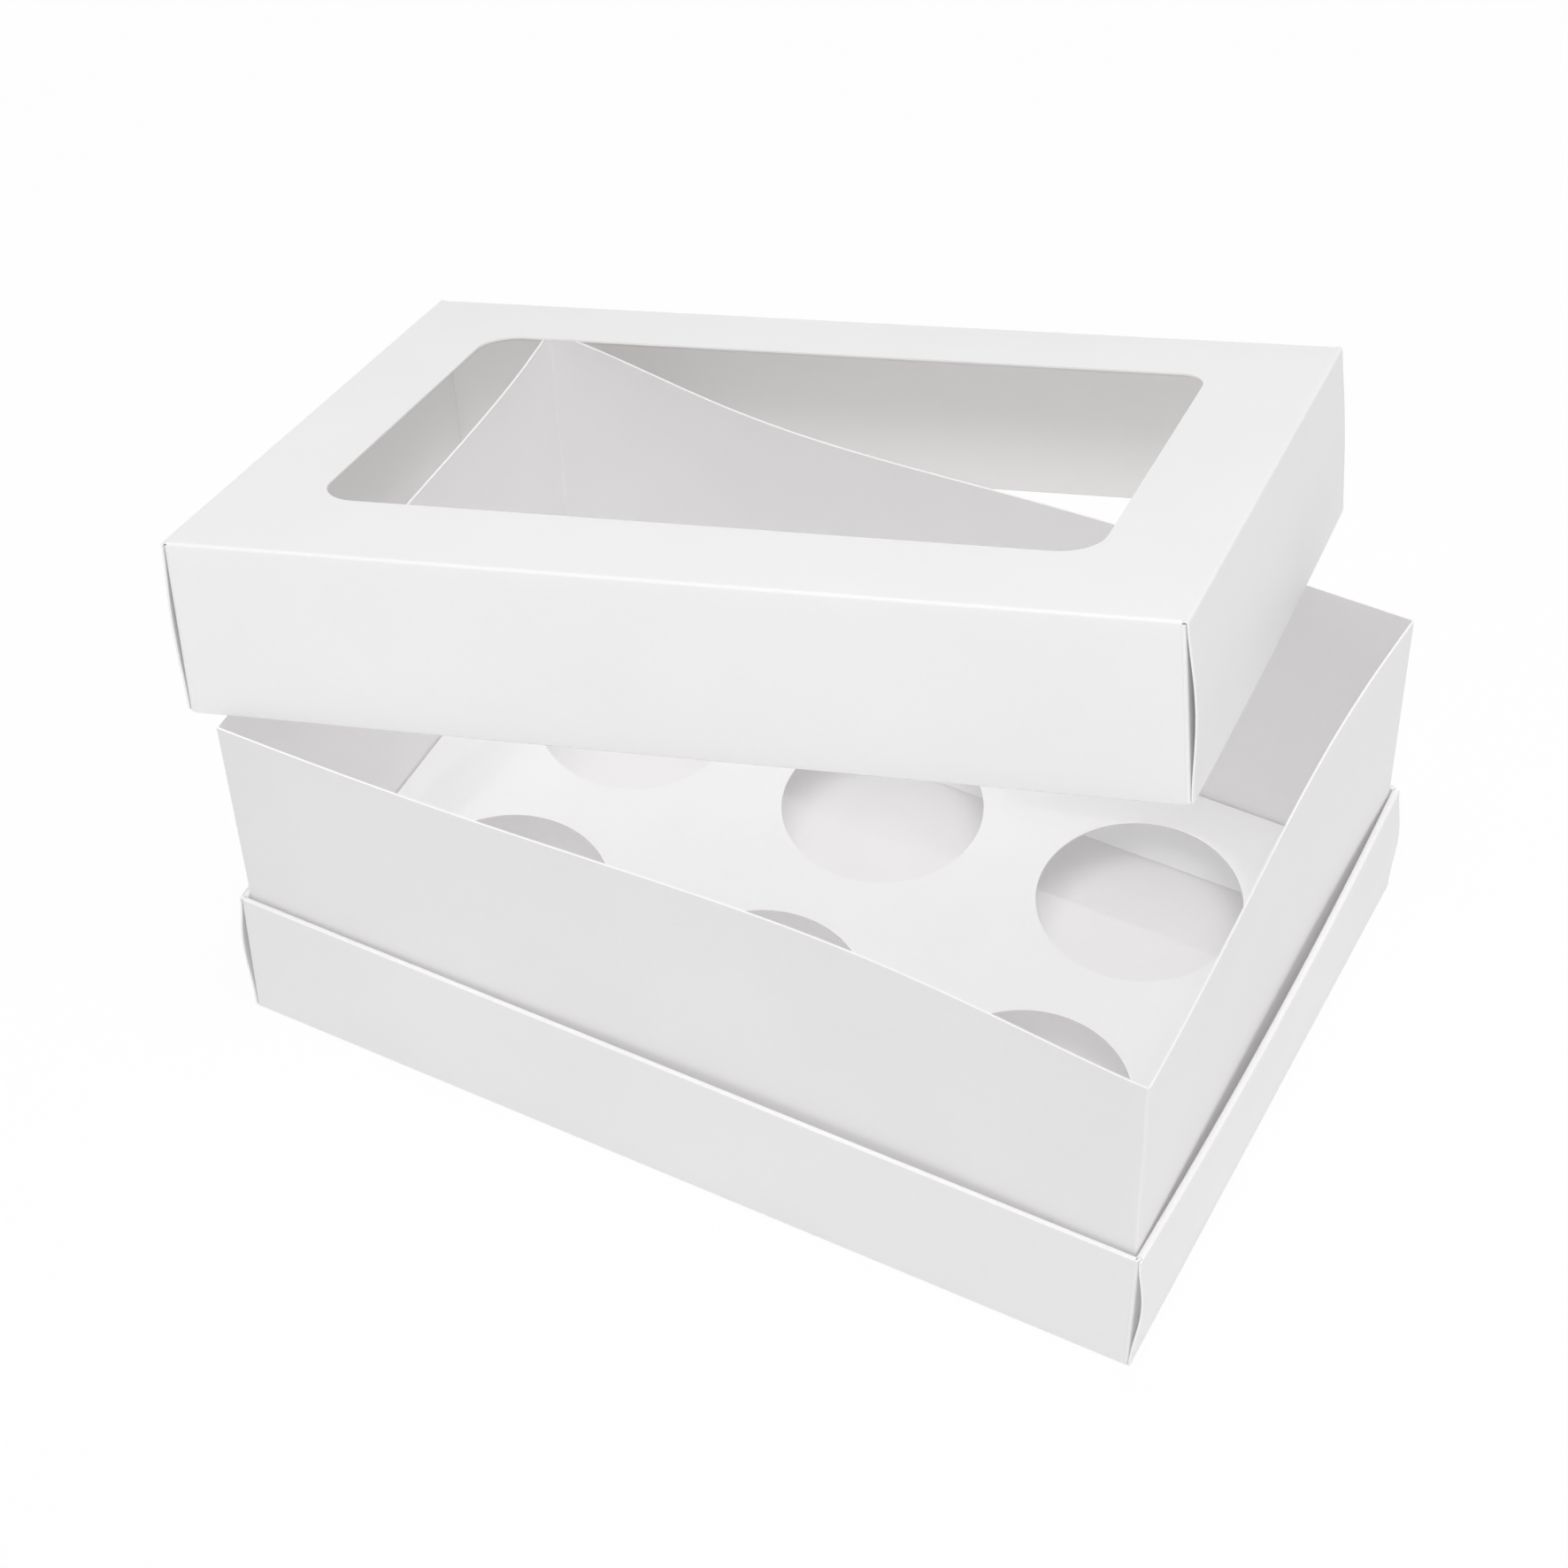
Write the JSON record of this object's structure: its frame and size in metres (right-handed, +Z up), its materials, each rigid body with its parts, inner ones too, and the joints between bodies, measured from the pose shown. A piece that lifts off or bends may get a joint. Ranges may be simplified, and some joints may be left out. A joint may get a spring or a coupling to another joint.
{
  "type": "cupcake box",
  "caption": "White card cupcake box: shallow tray, tall collar, insert with round holes, and a window lid lying askew on the collar.",
  "frame": {"origin": "the middle of the tray's underside, where the box stands on a surface", "axes": "+X along the tray's long side to the right, +Y to the back, away from the front long wall, +Z up"},
  "size_m": [0.2784, 0.2109, 0.1771],
  "materials": {
    "tray_card": "matte",
    "collar_card": "matte",
    "insert_card": "matte",
    "lid_card": "matte",
    "clear_film": "clear gloss"
  },
  "bodies": {
    "root": {"base_tray": "tray_card", "collar": "collar_card", "cupcake_insert": "insert_card", "lid": "lid_card", "window_film": "clear_film"}
  },
  "joints": []
}
